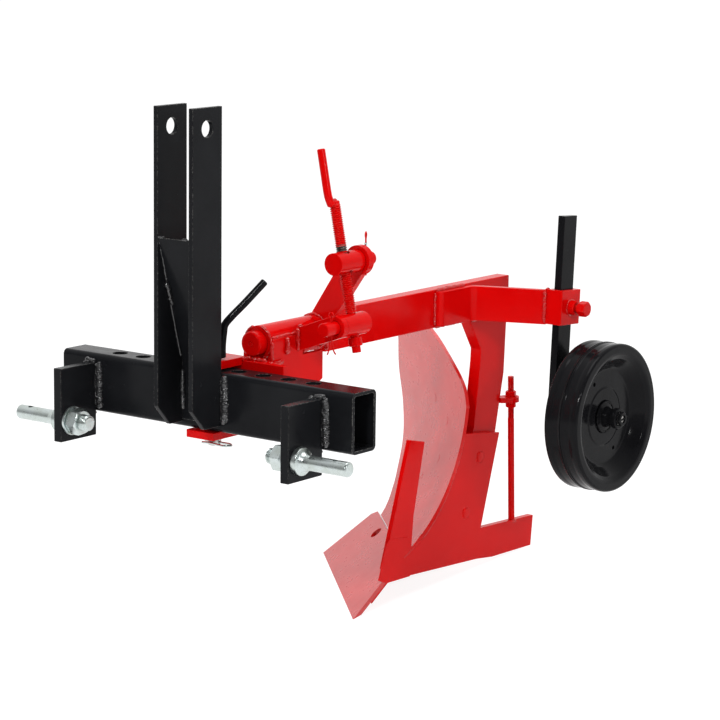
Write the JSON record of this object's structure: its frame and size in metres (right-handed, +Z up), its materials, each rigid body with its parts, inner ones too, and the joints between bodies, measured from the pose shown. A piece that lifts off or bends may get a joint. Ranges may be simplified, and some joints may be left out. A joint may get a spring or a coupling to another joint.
{
  "type": "moldboard plough",
  "caption": "Mounted mouldboard plough with a three-point headstock, screw-tilted beam, leg with share, mouldboard and landside, and a gauge wheel on a raked post.",
  "frame": {"origin": "on the ground under the middle of the plough, between the link pin ends", "axes": "+X the driver's left (away from the turned furrow), +Y to the rear, +Z up"},
  "size_m": [0.638, 0.8766, 0.8457],
  "materials": {
    "black_frame": "semi-gloss black paint on welded structural steel",
    "black_parts": "gloss black paint",
    "red_frame": "gloss red powder coat",
    "red_soil_face": "gloss red powder coat on a rolled sheet",
    "zinc_plate": "zinc plate with a faint yellow tone",
    "bare_steel": "turned steel"
  },
  "bodies": {
    "headstock": {"toolbar": "black_frame", "mast_flat_left": "black_frame", "mast_flat_right": "black_frame", "mast_brace": "black_frame", "link_plate_left": "black_frame", "link_plate_right": "black_frame", "lower_link_pin_left": "zinc_plate", "lower_link_pin_right": "zinc_plate", "pin_nut_left": "zinc_plate", "pin_nut_right": "zinc_plate", "yoke_top_plate": "red_frame", "yoke_bottom_plate": "red_frame", "yoke_back_plate": "red_frame", "yoke_cheek_left": "red_frame", "yoke_cheek_right": "red_frame", "pivot_sleeve": "red_frame", "swivel_lug": "red_frame", "hitch_pin": "black_parts", "hitch_pin_clip": "zinc_plate"},
    "beam": {"pivot_shaft": "red_frame", "tilt_arm": "red_frame", "beam": "red_frame", "wheel_arm": "red_frame", "post_socket": "red_frame", "clamp_screw": "red_frame", "leg": "red_frame", "share": "red_soil_face", "mouldboard": "red_soil_face", "landside": "red_frame", "knife_bar": "red_frame", "frog_rib_upper": "red_frame", "frog_rib_lower": "red_frame", "frog_sole": "red_frame", "heel_stay": "red_frame", "stay_lug": "red_frame"},
    "screw": {"lower_trunnion": "red_frame", "lower_cotter": "red_frame", "tilt_screw": "red_frame"},
    "swivel": {"upper_trunnion": "red_frame", "upper_cotter": "zinc_plate"},
    "wheel_carrier": {"wheel_post": "black_parts", "wheel_axle": "bare_steel"},
    "wheel": {"wheel_hub": "black_parts", "wheel_half_outer": "black_parts", "wheel_half_inner": "black_parts"}
  },
  "joints": [
    {"name": "beam_tilt", "type": "hinge", "parent": "headstock", "child": "beam", "pos_m": [0.035, -0.20623, 0.47691], "axis": [0, 0.999, -0.0454], "range_deg": [-8, 8]},
    {"name": "screw_swing", "type": "hinge", "parent": "headstock", "child": "screw", "pos_m": [0.1345, -0.16111, 0.50039], "axis": [0, 0.999, -0.0454], "range_deg": [-9.06, 9.06]},
    {"name": "swivel_swing", "type": "hinge", "parent": "beam", "child": "swivel", "pos_m": [0.116, -0.15696, 0.59179], "axis": [0, 0.999, -0.0454], "range_deg": [-1.06, 1.06]},
    {"name": "wheel_height", "type": "slide", "parent": "beam", "child": "wheel_carrier", "axis": [0, 0.1028, 0.9947], "range_m": [-0.1, 0.115]},
    {"name": "wheel_spin", "type": "hinge", "parent": "wheel_carrier", "child": "wheel", "pos_m": [0.274, 0.31366, 0.28141], "axis": [1, 0, 0], "continuous": true}
  ],
  "couplings": [
    {"joint": "screw_swing", "follows": "beam_tilt", "ratio": 1.0696},
    {"joint": "swivel_swing", "follows": "beam_tilt", "ratio": 0.06961}
  ]
}
